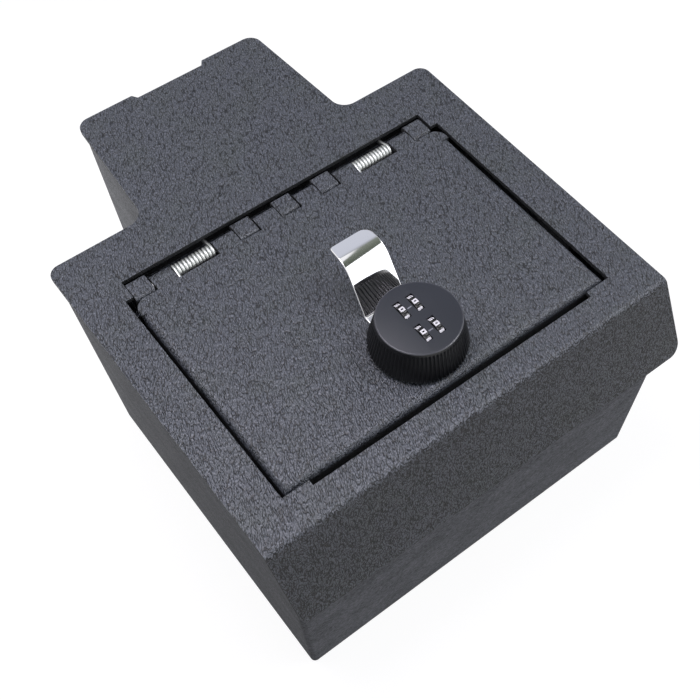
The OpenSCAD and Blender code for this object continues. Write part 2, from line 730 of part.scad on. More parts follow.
module knob_shell() color(plastic) in_knob() difference() {
    union() {
        difference() {
            rotate_extrude() knob_section();
            grip_grooves();
        }
        for (y = [-dial_y, dial_y]) axle_webs(y);
        for (a = screw_angles) rotate(a) translate([knob_screw_r, 0, base_top])
            cylinder(r = boss_r, h = knob_ceiling - base_top);
    }
    for (x = [-dial_x, dial_x], y = [-dial_y, dial_y]) {
        half = dial_t / 2 + dial_gap;
        window = sqrt(pow(dial_r, 2) - pow(knob_ceiling - axle_z, 2)) + dial_gap;
        translate([x - half, y - window, knob_ceiling - cut]) cube([2 * half, 2 * window, knob_top_t + 2 * cut]);
    }
    for (y = [-dial_y, dial_y]) translate([-axle_len / 2 - cut, y, axle_z]) rotate([0, 90, 0])
        cylinder(r = axle_d / 2 + tang_clearance, h = axle_len + 2 * cut);
    for (a = screw_angles) rotate(a) translate([knob_screw_r, 0, base_top - cut])
        cylinder(r = knob_screw_d / 2 + tang_clearance, h = screw_bite + cut);
}

module knob_base() color(plastic) in_knob() difference() {
    union() {
        translate([0, 0, base_bottom])
            cylinder(r1 = knob_r_at(base_bottom) - knob_wall - base_edge_gap,
                r2 = knob_r_at(base_top) - knob_wall - base_edge_gap, h = base_t);
        for (y = [-1, 1]) translate([-detent_w / 2, y * (detent_len - detent_pad_len) / 2 - detent_pad_len / 2,
            base_top]) cube([detent_w, detent_pad_len, detent_bottom - base_top]);
    }
    translate([0, 0, base_bottom - cut])
        cylinder(r = barrel_flange_d / 2 + knob_gap, h = flange_pocket_top - base_bottom + cut);
    translate([0, 0, base_bottom - cut]) cylinder(r = spindle_d / 2 + tang_clearance, h = base_t + 2 * cut);
    for (a = screw_angles) rotate(a) translate([knob_screw_r, 0, base_bottom - cut]) {
        cylinder(r = knob_screw_d / 2 + tang_clearance, h = base_t + 2 * cut);
        cylinder(r = screw_head_r + tang_clearance, h = screw_head_t + cut);
    }
}

module knob_screws() color(zinc) in_knob() for (a = screw_angles) rotate(a)
    translate([knob_screw_r, 0, base_bottom]) difference() {
        union() {
            cylinder(r = screw_head_r, h = screw_head_t);
            cylinder(d = knob_screw_d, h = base_t + screw_bite - cut);
        }
        translate([0, 0, -cut]) cylinder(r = screw_head_r / 2, h = screw_head_t / 2 + cut, $fn = 6);
    }

module dial_axle(y) color(zinc) in_knob() translate([-axle_len / 2, y, axle_z]) rotate([0, 90, 0])
    cylinder(d = axle_d, h = axle_len);

module dial_axle_front() dial_axle(-dial_y);

module dial_axle_rear() dial_axle(dial_y);

// A leaf with a middle strip and two cut tongues under each wheel
module detent_spring() color(zinc) in_knob() translate([0, 0, detent_bottom]) linear_extrude(detent_t)
    difference() {
        square([detent_w, detent_len], center = true);
        for (x = [-1, 1]) {
            finger_x = dial_x - dial_t / 2 + cut / 2;
            spine_x = inner_web_half / 2;
            translate([x * (finger_x + spine_x) / 2, 0])
                square([finger_x - spine_x, detent_len - 2 * detent_pad_len], center = true);
            translate([x * dial_x, 0]) square([dial_t + cut, cut], center = true);
        }
    }

module lock_spindle() color(zinc) in_knob() difference() {
    union() {
        translate([0, 0, base_top]) cylinder(r = spindle_head_r, h = spindle_head_t);
        translate([0, 0, cam_top]) cylinder(d = spindle_d, h = base_top - cam_top);
        translate([0, 0, cam_bottom]) cylinder(d = tang_d, h = cam_t);
    }
    translate([0, 0, cam_bottom - cut])
        cylinder(r = cam_screw_d / 2 + cam_screw_clearance, h = cam_screw_bite + 2 * cut);
}

// At rest the cam's arm points to the right, clear of the keeper
module latch_cam() color(zinc) in_knob() translate([0, 0, cam_bottom]) linear_extrude(cam_t) difference() {
    union() {
        circle(cam_hub_r);
        rect_between(0, cam_len - cam_w / 2, -cam_w / 2, cam_w / 2);
        translate([cam_len - cam_w / 2, 0]) circle(d = cam_w);
    }
    circle(tang_d / 2 + tang_clearance);
}

module cam_washer() color(zinc) in_knob() translate([0, 0, cam_bottom - washer_t]) difference() {
    cylinder(r = cam_washer_r, h = washer_t);
    translate([0, 0, -cut]) cylinder(r = cam_screw_d / 2 + cam_screw_clearance, h = washer_t + 2 * cut);
}

module cam_screw() color(zinc) in_knob() translate([0, 0, cam_bottom - washer_t]) difference() {
    union() {
        cylinder(d = cam_screw_d, h = washer_t + cam_screw_bite);
        translate([0, 0, -cam_head_t]) cylinder(r = cam_head_r, h = cam_head_t);
    }
    translate([0, 0, -cam_head_t - cut]) cylinder(r = hex_r, h = cam_head_t / 2 + cut, $fn = 6);
}

// A number wheel with a finger notch between each two numbers
module dial(x, y) color(dial_black) in_knob() translate([x, y, axle_z]) rotate([0, 90, 0])
    translate([0, 0, -dial_t / 2]) linear_extrude(dial_t) difference() {
        circle(dial_r);
        circle(axle_d / 2 + axle_clearance);
        for (i = [0 : dial_marks - 1]) rotate(360 / dial_marks * (i + 0.5)) translate([dial_r, 0])
            circle(dial_notch_r, $fn = 16);
    }

module dial_1() dial(-dial_x, dial_y);

module dial_2() dial(dial_x, dial_y);

module dial_3() dial(-dial_x, -dial_y);

module dial_4() dial(dial_x, -dial_y);

top_plate();
wall_wrap();
tongue_wrap();
floor_plate();
hinge_rail();
hinge_blocks();
hinge_pin();
spring_left();
spring_right();
latch_keeper();
door_rests();
door_panel();
lift_tab();
lock_barrel();
barrel_washer();
barrel_nut();
knob_shell();
knob_base();
knob_screws();
dial_axle_front();
dial_axle_rear();
detent_spring();
lock_spindle();
latch_cam();
cam_washer();
cam_screw();
dial_1();
dial_2();
dial_3();
dial_4();
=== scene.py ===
"""Looks of the vehicle console safe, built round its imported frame. Metres, in the part's own frame."""

import json
import math
from functools import partial

import bmesh
import bpy
from mathutils import Matrix, Vector


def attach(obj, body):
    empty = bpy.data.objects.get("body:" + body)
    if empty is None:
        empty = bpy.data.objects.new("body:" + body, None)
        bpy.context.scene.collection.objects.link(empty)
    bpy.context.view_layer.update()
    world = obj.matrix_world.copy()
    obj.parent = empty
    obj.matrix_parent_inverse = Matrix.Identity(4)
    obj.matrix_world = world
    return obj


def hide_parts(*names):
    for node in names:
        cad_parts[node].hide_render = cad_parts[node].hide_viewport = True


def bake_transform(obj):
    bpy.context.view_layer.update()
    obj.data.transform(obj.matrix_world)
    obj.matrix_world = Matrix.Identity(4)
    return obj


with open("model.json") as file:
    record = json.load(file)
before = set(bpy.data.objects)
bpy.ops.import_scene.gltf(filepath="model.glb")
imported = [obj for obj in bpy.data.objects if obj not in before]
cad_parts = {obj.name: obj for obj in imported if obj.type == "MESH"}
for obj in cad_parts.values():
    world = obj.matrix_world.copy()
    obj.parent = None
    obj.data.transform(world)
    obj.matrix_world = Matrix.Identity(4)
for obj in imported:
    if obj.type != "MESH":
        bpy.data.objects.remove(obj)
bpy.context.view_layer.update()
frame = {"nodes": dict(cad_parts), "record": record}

MM = 0.001
JOINT_AT = {joint["name"]: Vector(joint["pos_m"]) for joint in frame["record"]["behaviour"]["joints"]}
# The height of the door's upper face, the middle of the hinge pin, and the knob's middle on the door
DOOR_TOP = 0.153
HINGE = JOINT_AT["door_hinge"]
KNOB = Vector((JOINT_AT["knob_turn"].x, JOINT_AT["knob_turn"].y, DOOR_TOP))


def linear(code):
    """An sRGB hex colour as the linear values that a shader takes."""
    parts = [int(code[i:i + 2], 16) / 255 for i in (1, 3, 5)]
    return [c / 12.92 if c <= 0.04045 else ((c + 0.055) / 1.055) ** 2.4 for c in parts] + [1.0]


WHITE = linear("#ffffff")


# Shader trees

# A Mix node has its two colours in these inputs, and the mixed colour in this output
FIRST_COLOUR, SECOND_COLOUR, MIXED_COLOUR = 6, 7, 2
# The length of one wave of plain noise at scale 1
NOISE_WAVE = 1.8


def add_node(tree, kind, *inputs, sockets=None, stops=(), **settings):
    """Adds a shader node: inputs in their own order, sockets by name or number, and its settings.

    An input is a number, a vector, a colour, a socket, or a node whose first output is meant. The stops of
    a colour ramp are its places, each with an sRGB hex colour.
    """
    node = tree.nodes.new("ShaderNode" + kind)
    for name, value in settings.items():
        setattr(node, name, value)
    for number, (at, code) in enumerate(stops):
        points = node.color_ramp.elements
        point = points[number] if number < 2 else points.new(at)
        point.position, point.color = at, linear(code)
    for key, value in [*enumerate(inputs), *(sockets or {}).items()]:
        if isinstance(value, bpy.types.Node):
            value = value.outputs[0]
        if isinstance(value, bpy.types.NodeSocket):
            tree.links.new(value, node.inputs[key])
        else:
            node.inputs[key].default_value = value
    return node


def empty_tree(owner):
    """Empties the shader tree of a material or world, and gives the function that adds nodes to it."""
    owner.use_nodes = True
    owner.node_tree.nodes.clear()
    return partial(add_node, owner.node_tree)


def new_material(name):
    """A material with an empty shader tree, and the function that adds nodes to it."""
    material = bpy.data.materials.new(name)
    return material, empty_tree(material)


def waves(*sizes_mm):
    """Scales along X, Y and Z that give plain noise waves of these sizes in millimetres."""
    return [NOISE_WAVE / (size * MM) for size in sizes_mm]


# Materials

# Where the front flange's fold ends and its flat begins
FLANGE_Y = -0.1425


def leather_grain_coat():
    """Steel under a leather-grain powder coat: thin creases a millimetre or two apart, longer one way.

    The eye gets a mid grey, broken by short dark creases that run one way and by small light crests, which
    drifts between a bluer and a greener grey over some centimetres. The creases' darkness is painted shade
    and the crests' lightness a painted highlight, over a real bump; the flange and upright faces are painted
    darker as painted shade.
    """
    material, add = new_material("leather_grain_powder_coat")
    coordinates = add("TexCoord")
    place, normal = coordinates.outputs["Object"], coordinates.outputs["Normal"]
    turned = add("Mapping", place, vector_type="TEXTURE", sockets={"Rotation": (0, 0, -0.45)})

    def grain(across_mm, along_mm):
        """Even noise whose waves have these lengths across and along the grain."""
        sized = add("Mapping", turned, sockets={"Scale": waves(across_mm, along_mm, across_mm)})
        return add("TexNoise", sized, sockets={"Scale": 1.0, "Detail": 0.0})

    # A crease runs wherever the waves pass through their middle level: it is sunk in the bump, and its
    # darkness in the colour is painted shade
    middle, half_width, dark, light = 0.5, 0.1, -0.44, 0.09
    off = add("Math", grain(2.3, 8.0), middle, operation="SUBTRACT")
    crease = add("MapRange", add("Math", off, operation="ABSOLUTE"), 0.0, half_width, dark, light)
    grit = grain(0.9, 2.4)
    rearward = add("SeparateXYZ", place).outputs["Y"]
    flange = add("MapRange", rearward, FLANGE_Y, FLANGE_Y + 2 * MM, 1.0, 0.0)
    # Creases are three times as deep on the sloping flange, in the bump and in their painted shade
    coarse = add("Math", flange, 2.0, 1.0, operation="MULTIPLY_ADD")
    tone = add("Math", crease, coarse, grit, operation="MULTIPLY_ADD")
    # Both greys change at the same levels, from the bottom of a crease to the top of a crest: dark at the
    # bottom as painted shade, light at the top as a painted highlight
    levels = (0.12, 0.3, 0.46, 0.62, 0.85)
    bluer = zip(levels, ("#13151a", "#32363d", "#4a4e55", "#565b62", "#7a7e87"))
    greener = zip(levels, ("#121516", "#313638", "#484e51", "#54595d", "#767c7f"))
    drift = add("TexNoise", place, sockets={"Scale": 1 / (26 * MM), "Detail": 3.0, "Roughness": 0.6})
    hue = add("Mix", add("MapRange", drift, 0.45, 0.75), data_type="RGBA",
              sockets={FIRST_COLOUR: add("ValToRGB", tone, stops=bluer),
                       SECOND_COLOUR: add("ValToRGB", tone, stops=greener)})
    # Painted shade: the colour is darker on the sloping flange, and darkest on upright faces and edges, for
    # the light that reaches them less
    upward = add("Math", add("SeparateXYZ", normal).outputs["Z"], operation="ABSOLUTE")
    upright_painted_shade = add("MapRange", upward, 0.05, 0.3, 0.15, 1.0)
    flange_painted_shade = add("Math", flange, -0.55, 1.0, operation="MULTIPLY_ADD")
    shade = add("Math", upright_painted_shade, flange_painted_shade, operation="MULTIPLY")
    tint = add("VectorMath", hue.outputs[MIXED_COLOUR], operation="SCALE", sockets={"Scale": shade})
    edge_rough = add("Math", upright_painted_shade, -0.5, 0.82, operation="MULTIPLY_ADD")
    rough = add("Math", flange, 0.14, edge_rough, operation="MULTIPLY_ADD")
    height = add("Math", tone, coarse, operation="MULTIPLY")
    bump = add("Bump", sockets={"Height": height, "Strength": 1.0, "Distance": 0.34 * MM})
    shader = add("BsdfPrincipled",
                 sockets={"Base Color": tint, "Roughness": rough, "IOR": 1.5, "Normal": bump})
    add("OutputMaterial", shader)
    return material


def thin_coat():
    """The same powder laid on thin over the walls: a matt grey with fine peel and faint soft bands."""
    material, add = new_material("thin_powder_coat")
    place = add("TexCoord").outputs["Object"]
    fine = add("Mapping", place, sockets={"Rotation": (0.0, 0.6, 0.0), "Scale": waves(3.6, 3.0, 1.385)})
    peel = add("TexNoise", fine, sockets={"Scale": 1.0, "Detail": 3.0, "Roughness": 0.7})
    broad = add("Mapping", place, sockets={"Scale": waves(40, 60, 20)})
    band = add("TexNoise", broad, sockets={"Scale": 1.0, "Detail": 4.0, "Roughness": 0.6})
    tone = add("Math", band, 0.3, peel, operation="MULTIPLY_ADD")
    colour = add("ValToRGB", tone, stops=[(0.42, "#454648"), (0.87, "#9fa0a3")])
    bump = add("Bump", sockets={"Height": peel, "Strength": 1.0, "Distance": 0.1 * MM})
    shader = add("BsdfPrincipled", sockets={"Base Color": colour, "Roughness": 0.8, "IOR": 1.4,
                                            "Specular IOR Level": 0.1, "Normal": bump})
    add("OutputMaterial", shader)
    return material


def zinc_plate():
    """Drawn wire and turned steel under bright zinc: white where light catches them, with fine draw marks."""
    material, add = new_material("bright_zinc_plate")
    place = add("TexCoord").outputs["Object"]
    marks = add("TexNoise", place, sockets={"Scale": 1 / (0.25 * MM), "Detail": 3.0})
    rough = add("MapRange", marks, 0.0, 1.0, 0.3, 0.46)
    tint = add("ValToRGB", marks, stops=[(0.3, "#b4b8b7"), (0.7, "#cfd1cf")])
    bump = add("Bump", sockets={"Height": marks, "Strength": 0.3, "Distance": 0.02 * MM})
    shader = add("BsdfPrincipled",
                 sockets={"Base Color": tint, "Metallic": 1.0, "Roughness": rough, "Normal": bump})
    add("OutputMaterial", shader)
    return material


def polished_chrome():
    """Buffed chrome over nickel: a near mirror, with a haze of fine buffing marks."""
    material, add = new_material("polished_chrome")
    place = add("TexCoord").outputs["Object"]
    marks = add("TexNoise", place, sockets={"Scale": 1 / (0.6 * MM), "Detail": 2.0})
    haze = add("MapRange", marks, 0.0, 1.0, 0.02, 0.07)
    shader = add("BsdfPrincipled",
                 sockets={"Base Color": linear("#f1f1f4"), "Metallic": 1.0, "Roughness": haze})
    add("OutputMaterial", shader)
    return material


def moulded(name, low, high, rough, grain_mm, depth_mm):
    """Moulded plastic or print: an even colour that varies a little, its gloss broken by a fine grain."""
    material, add = new_material(name)
    place = add("TexCoord").outputs["Object"]
    grain = add("TexNoise", place, sockets={"Scale": 1 / (grain_mm * MM), "Detail": 2.0})
    colour = add("ValToRGB", grain, stops=[(0.35, low), (0.65, high)])
    bump = add("Bump", sockets={"Height": grain, "Strength": 1.0, "Distance": depth_mm * MM})
    shader = add("BsdfPrincipled",
                 sockets={"Base Color": colour, "Roughness": rough, "IOR": 1.5, "Normal": bump})
    add("OutputMaterial", shader)
    return material


def satin_grip():
    """Glass-filled ABS, satin from its mould: near black, with its upward faces painted blue-grey as painted
    light from above.

    Handling has polished its rim smoother, and the rim is painted a lighter grey as a painted highlight: it
    takes the light as a thin bright line.
    """
    material, add = new_material("satin_black_abs")
    coordinates = add("TexCoord")
    grain = add("TexNoise", coordinates.outputs["Object"], sockets={"Scale": 1 / (0.3 * MM), "Detail": 2.0})
    faint = add("Math", grain, 0.2, operation="MULTIPLY")
    # Upward faces are painted lighter, up to blue-grey on the top: painted light from above
    upward = add("SeparateXYZ", coordinates.outputs["Normal"]).outputs["Z"]
    tone = add("Math", upward, 0.8, faint, operation="MULTIPLY_ADD")
    plain = add("ValToRGB", tone,
                stops=[(0.2, "#040508"), (0.7, "#0b0d12"), (0.86, "#2b2e35"), (0.96, "#363a42")])
    # The polished rim, with its painted highlight, lies where a point is this far out and this high
    place = add("SeparateXYZ", coordinates.outputs["Object"])
    x_square = add("Math", place.outputs["X"], place.outputs["X"], operation="MULTIPLY")
    y_square = add("Math", place.outputs["Y"], place.outputs["Y"], operation="MULTIPLY")
    out = add("Math", add("Math", x_square, y_square, operation="ADD"), operation="SQRT")
    far = add("MapRange", out, 22.1 * MM, 22.5 * MM)
    high = add("MapRange", place.outputs["Z"], 20.9 * MM, 21.1 * MM)
    polished_rim_and_painted_highlight = add("Math", far, high, operation="MULTIPLY")
    rough = add("MapRange", polished_rim_and_painted_highlight, 0.0, 1.0, 0.3, 0.2)
    # The rim's lighter grey is a painted highlight
    colour = add("Mix", polished_rim_and_painted_highlight, data_type="RGBA",
                 sockets={FIRST_COLOUR: plain, SECOND_COLOUR: linear("#484a51")})
    bump = add("Bump", sockets={"Height": grain, "Strength": 1.0, "Distance": 0.01 * MM})
    shader = add("BsdfPrincipled", sockets={"Base Color": colour.outputs[MIXED_COLOUR], "Roughness": rough,
                                            "IOR": 1.5, "Normal": bump})
    add("OutputMaterial", shader)
    return material


COAT = leather_grain_coat()
WALL_COAT = thin_coat()
ZINC = zinc_plate()
CHROME = polished_chrome()
GRIP = satin_grip()
# Acetal wheels, smoother and blacker than the knob, with crisp light along their edges
WHEEL = moulded("gloss_black_acetal", "#08080a", "#0e0e11", rough=0.25, grain_mm=0.4, depth_mm=0.002)
# Pad-printed ink: flat, a little soft
INK = moulded("white_pad_print", "#f4f4f8", "#fcfcfe", rough=0.5, grain_mm=0.4, depth_mm=0.002)
FADED_INK = moulded("grey_pad_print", "#8d9099", "#9a9da6", rough=0.5, grain_mm=0.4, depth_mm=0.002)

FINISH_OF = {"coat": COAT, "wall_coat": WALL_COAT, "zinc": ZINC, "chrome": CHROME, "black_plastic": GRIP,
             "dial_plastic": WHEEL}


# Shapes

# CAD faces that lean less than the first angle are one flat, and edges sharper than the second get a radius
FLAT_DEG, EDGE_DEG = 0.6, 30


def show(obj):
    """Puts an object into the scene."""
    bpy.context.scene.collection.objects.link(obj)
    return obj


def finish_mesh(name, mesh, material, sharp_deg=35):
    """An object from a mesh, smooth except over edges sharper than the angle."""
    mesh.validate()
    mesh.materials.clear()
    mesh.materials.append(material)
    for face in mesh.polygons:
        face.use_smooth = True
    mesh.set_sharp_from_angle(angle=math.radians(sharp_deg))
    return show(bpy.data.objects.new(name, mesh))


def add_mesh(name, verts, faces, material, sharp_deg=35):
    """An object from vertices in metres and faces."""
    mesh = bpy.data.meshes.new(name)
    mesh.from_pydata([tuple(v) for v in verts], [], faces)
    return finish_mesh(name, mesh, material, sharp_deg)


def softened(node, body, slot, edge_mm):
    """A copy of a CAD node whose sharp edges have the small radius that a coat leaves."""
    work = bmesh.new()
    work.from_mesh(frame["nodes"][node].data)
    bmesh.ops.remove_doubles(work, verts=work.verts, dist=1e-6)
    bmesh.ops.dissolve_limit(work, angle_limit=math.radians(FLAT_DEG), verts=work.verts, edges=work.edges)
    sharp = [e for e in work.edges if e.is_manifold and e.calc_face_angle() > math.radians(EDGE_DEG)]
    bmesh.ops.bevel(work, geom=sharp, offset=edge_mm * MM, segments=2, profile=0.5, affect="EDGES",
                    clamp_overlap=True)
    mesh = bpy.data.meshes.new("soft_" + node)
    work.to_mesh(mesh)
    work.free()
    obj = finish_mesh("soft_" + node, mesh, FINISH_OF[slot], sharp_deg=50)
    even = obj.modifiers.new("even_normals", "WEIGHTED_NORMAL")
    even.keep_sharp = True
    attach(obj, body)
    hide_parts(node)


def loft(rings, closed_ends=True):
    """Vertices in metres and faces between rings of points in millimetres, all with the same count."""
    count = len(rings[0])
    verts = [Vector(p) * MM for ring in rings for p in ring]
    faces = []
    for i in range(len(rings) - 1):
        for k in range(count):
            a, b = i * count + k, i * count + (k + 1) % count
            faces.append((a, b, b + count, a + count))
    if closed_ends:
        faces.append(tuple(reversed(range(count))))
        faces.append(tuple((len(rings) - 1) * count + k for k in range(count)))
    return verts, faces


def all_round(count):
    """Even angles round a full turn."""
    return [math.tau * k / count for k in range(count)]


def tube(name, path, radius, sides):
    """Round zinc wire along a path of points, in millimetres, closed by flat ends."""
    rings = []
    for i, point in enumerate(path):
        along = (path[min(i + 1, len(path) - 1)] - path[max(i - 1, 0)]).normalized()
        u = along.cross(Vector((1, 0, 0))).normalized()
        v = along.cross(u)
        rings.append([point + radius * (math.cos(a) * u + math.sin(a) * v) for a in all_round(sides)])
    return add_mesh(name, *loft(rings), ZINC, sharp_deg=60)


# Camera

CAMERA_AT = (-0.17773, -0.29625, 0.5418)
CAMERA_LENS = 44.92
CAMERA_SHIFT = (-0.0529, 0.2038)
CAMERA_TURN_DEG, CAMERA_RISE_DEG, CAMERA_ROLL_DEG = -36.88, 64.74, -0.87


def add_camera():
    """The photograph's view: above the front left corner, looking down on the plate."""
    turn, rise, roll = (math.radians(a) for a in (CAMERA_TURN_DEG, CAMERA_RISE_DEG, CAMERA_ROLL_DEG))
    back = Vector((math.sin(turn) * math.cos(rise), -math.cos(turn) * math.cos(rise), math.sin(rise)))
    level = Vector((math.cos(turn), math.sin(turn), 0))
    upright = back.cross(level)
    right = math.cos(roll) * level + math.sin(roll) * upright
    up = -math.sin(roll) * level + math.cos(roll) * upright
    data = bpy.data.cameras.new("camera")
    data.sensor_width = 36
    data.lens = CAMERA_LENS
    data.shift_x, data.shift_y = CAMERA_SHIFT
    data.clip_start = 0.01
    cam = show(bpy.data.objects.new("camera", data))
    cam.matrix_world = Matrix.Translation(CAMERA_AT) @ Matrix((right, up, back)).transposed().to_4x4()
    bpy.context.scene.camera = cam


# Lights, floor and backdrop


def soft_lamp(name, where, target, size, power, colour):
    """A rectangular lamp from one place towards another, which the camera doesn't see."""
    data = bpy.data.lights.new(name, "AREA")
    data.shape = "RECTANGLE"
    data.size, data.size_y = size
    data.energy = power
    data.color = linear(colour)[:3]
    lamp = show(bpy.data.objects.new(name, data))
    lamp.visible_camera = False
    aim = Vector(target) - Vector(where)
    lamp.matrix_world = Matrix.Translation(where) @ aim.to_track_quat("-Z", "Y").to_matrix().to_4x4()


def looked_at(add, path):
    """1 for what the camera sees, straight or through something clear, and 0 for the rest."""
    camera, through = path.outputs["Is Camera Ray"], path.outputs["Is Transmission Ray"]
    return add("Math", camera, through, operation="MAXIMUM")


def add_world():
    """White to the camera, a soft sky as a light, and a studio room in reflections."""
    world = bpy.data.worlds.new("studio")
    bpy.context.scene.world = world
    add = empty_tree(world)
    # The place where a direction meets a level ceiling, in heights of that ceiling
    way = add("SeparateXYZ", add("TexCoord").outputs["Generated"])
    height = add("Math", way.outputs["Z"], 0.01, operation="MAXIMUM")
    across = add("Math", way.outputs["X"], height, operation="DIVIDE")
    rearward = add("Math", way.outputs["Y"], height, operation="DIVIDE")
    # Where nothing white stands, the room is grey-green overhead, then pale lilac, and darker at the rear
    depth = add("Math", rearward, 0.25, 0.25, operation="MULTIPLY_ADD")
    room = add("ValToRGB", depth, stops=[(0.15, "#50564c"), (0.26, "#6f756a"), (0.345, "#83887f"),
                                         (0.385, "#b2b5bc"), (0.43, "#cfd2dc"), (0.46, "#dcdde6"),
                                         (0.53, "#7c7d88"), (0.7, "#5c5d68")])
    # A white panel stands in front and to the right, with a sharp slanted edge
    slant = add("Math", across, 8.0, -3.71, operation="MULTIPLY_ADD")
    panel_end = add("Math", slant, 0.1, operation="MINIMUM")
    inside = add("Math", panel_end, rearward, operation="SUBTRACT")
    panel = add("MapRange", inside, -0.03, 0.03)
    # The left of the room is white too, up to an edge that comes to a point beside the panel
    middle = add("Math", across, 1.2, -0.06, operation="MULTIPLY_ADD")
    off_middle = add("Math", add("Math", middle, rearward, operation="SUBTRACT"), operation="ABSOLUTE")
    short_of_point = add("Math", off_middle, 2.05, operation="SUBTRACT")
    outside = add("Math", across, 5.0, short_of_point, operation="MULTIPLY_ADD")
    left_side = add("MapRange", outside, 0.15, 0.09)
    # The white paper of the backdrop closes the room all round
    paper = add("MapRange", way.outputs["Z"], 0.24, 0.16)
    sides = add("Math", panel, left_side, operation="MAXIMUM")
    white = add("Math", sides, paper, operation="MAXIMUM")
    colour = add("Mix", white, data_type="RGBA", sockets={FIRST_COLOUR: room, SECOND_COLOUR: WHITE})
    # The panel is brighter than the paper
    bright = add("MapRange", panel, 0.0, 1.0, 1.0, 1.8)
    studio = add("Background", sockets={"Color": colour.outputs[MIXED_COLOUR], "Strength": bright})
    sky = add("Background", sockets={"Color": linear("#eef1f8"), "Strength": 0.25})
    backdrop = add("Background", sockets={"Color": WHITE, "Strength": 1.0})
    path = add("LightPath")
    lit = add("MixShader", path.outputs["Is Glossy Ray"], sky, studio)
    add("OutputWorld", add("MixShader", looked_at(add, path), lit, backdrop))


def add_floor():
    """White paper that keeps a very light shadow."""
    material, add = new_material("white_paper_floor")
    path = add("LightPath")
    seen = add("Math", looked_at(add, path), path.outputs["Is Glossy Ray"], operation="MAXIMUM")
    matt = add("BsdfDiffuse", sockets={"Color": linear("#6a6a6a")})
    faint = add("BsdfDiffuse", sockets={"Color": linear("#7c7c7c")})
    glow = add("Emission", sockets={"Color": WHITE, "Strength": 0.9})
    add("OutputMaterial", add("MixShader", seen, matt, add("AddShader", faint, glow)))
    half_mm = 6000.0
    corners = [(-half_mm, -half_mm, 0), (half_mm, -half_mm, 0), (half_mm, half_mm, 0), (-half_mm, half_mm, 0)]
    add_mesh("floor", [Vector(c) * MM for c in corners], [(0, 1, 2, 3)], material)


# The knob

# Heights over the door and sizes, in millimetres
KNOB_BOTTOM, KNOB_TOP = 2.3, 21.6
KNOB_BASE_R, KNOB_TOP_R = 27.7, 23.0
KNOB_WALL = 2.6
KNOB_CEILING = 20.3
RIBS, POINTS_PER_RIB = 72, 10
GROOVE_DEPTH, GROOVE_SHARPNESS = 0.62, 1.3
# The heights of the rings up the side, and how deep the grooves are there: the band over them is smooth
SIDE_LEVELS = ((KNOB_BOTTOM, 1.0), (9.0, 1.0), (17.2, 1.0), (18.2, 0.75), (18.9, 0.3), (19.2, 0.0),
               (20.2, 0.0), (20.8, 0.0))
RIM_Z, RIM_R, RIM_STEPS = 20.8, 0.8, 4
WINDOW_SIZE, WINDOW_Z = (4.1, 11.6, 4.0), 20.7
WHEEL_R, WHEEL_T, WHEEL_Z = 7.6, 3.6, 15.2
WHEEL_X, WHEEL_Y = 4.3, 8.8


def apply_modifiers(obj):
    """Puts the mesh that an object's modifiers give in place of its own."""
    bpy.context.view_layer.update()
    evaluated = obj.evaluated_get(bpy.context.evaluated_depsgraph_get())
    mesh = bpy.data.meshes.new_from_object(evaluated)
    obj.modifiers.clear()
    obj.data = mesh


def side_r(z):
    """Radius of the knob's tapered side at a height over the door."""
    return KNOB_BASE_R - (z - KNOB_BOTTOM) * (KNOB_BASE_R - KNOB_TOP_R) / (KNOB_TOP - KNOB_BOTTOM)


def window_cutter():
    """Four blocks, one over each wheel."""
    blocks = bmesh.new()
    size = Matrix.Diagonal(Vector(WINDOW_SIZE) * MM).to_4x4()
    for x in (-WHEEL_X, WHEEL_X):
        for y in (-WHEEL_Y, WHEEL_Y):
            middle = Matrix.Translation(Vector((x, y, WINDOW_Z)) * MM)
            bmesh.ops.create_cube(blocks, size=1.0, matrix=middle @ size)
    mesh = bpy.data.meshes.new("cutters")
    blocks.to_mesh(mesh)
    blocks.free()
    return show(bpy.data.objects.new("cutters", mesh))


def knob_grip():
    """A tapered grip with fine ribs, a smooth band over them, and four windows in its top."""
    turns = all_round(RIBS * POINTS_PER_RIB)
    one_rib = [(0.5 + 0.5 * math.cos(a)) ** GROOVE_SHARPNESS for a in all_round(POINTS_PER_RIB)]
    dips = [GROOVE_DEPTH * part for part in one_rib] * RIBS

    def ring(z, r, deep=0.0):
        """A ring of one height and radius, with the grooves this much of their full depth."""
        return [((r - deep * d) * math.cos(a), (r - deep * d) * math.sin(a), z) for a, d in zip(turns, dips)]

    rings = [ring(z, side_r(z) - KNOB_WALL) for z in (KNOB_CEILING, KNOB_BOTTOM)]
    rings += [ring(z, side_r(z), deep) for z, deep in SIDE_LEVELS]
    for step in range(1, RIM_STEPS + 1):
        part = math.radians(90 / RIM_STEPS * step)
        rings.append(ring(RIM_Z + RIM_R * math.sin(part), side_r(RIM_Z) - RIM_R * (1 - math.cos(part))))
    knob = add_mesh("knob_grip", *loft(rings), GRIP, sharp_deg=40)
    cutter = window_cutter()
    hole = knob.modifiers.new("windows", "BOOLEAN")
    hole.operation = "DIFFERENCE"
    hole.solver = "EXACT"
    hole.object = cutter
    apply_modifiers(knob)
    bpy.data.objects.remove(cutter)
    # Level faces are shaded flat, so that the windows don't bend the light on the top
    for face in knob.data.polygons:
        face.use_smooth = abs(face.normal.z) < 0.999
    knob.data.set_sharp_from_angle(angle=math.radians(40))
    knob.matrix_world = Matrix.Translation(KNOB)
    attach(knob, "knob")
    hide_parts("knob_shell")


def on_wheel(angle, r, along):
    """A point of a wheel that turns about X: angle 0 points up, and it grows towards the rear."""
    return Vector((along, r * math.sin(angle), r * math.cos(angle)))


# Bold square figures, each as five rows of three cells from the top down
FIGURES = ("111101101101111", "010110010010010", "111001111100111", "111001111001111", "101101111001001",
           "111100111001111", "111100111101111", "111001001001001", "111101111101111", "111101111001111")
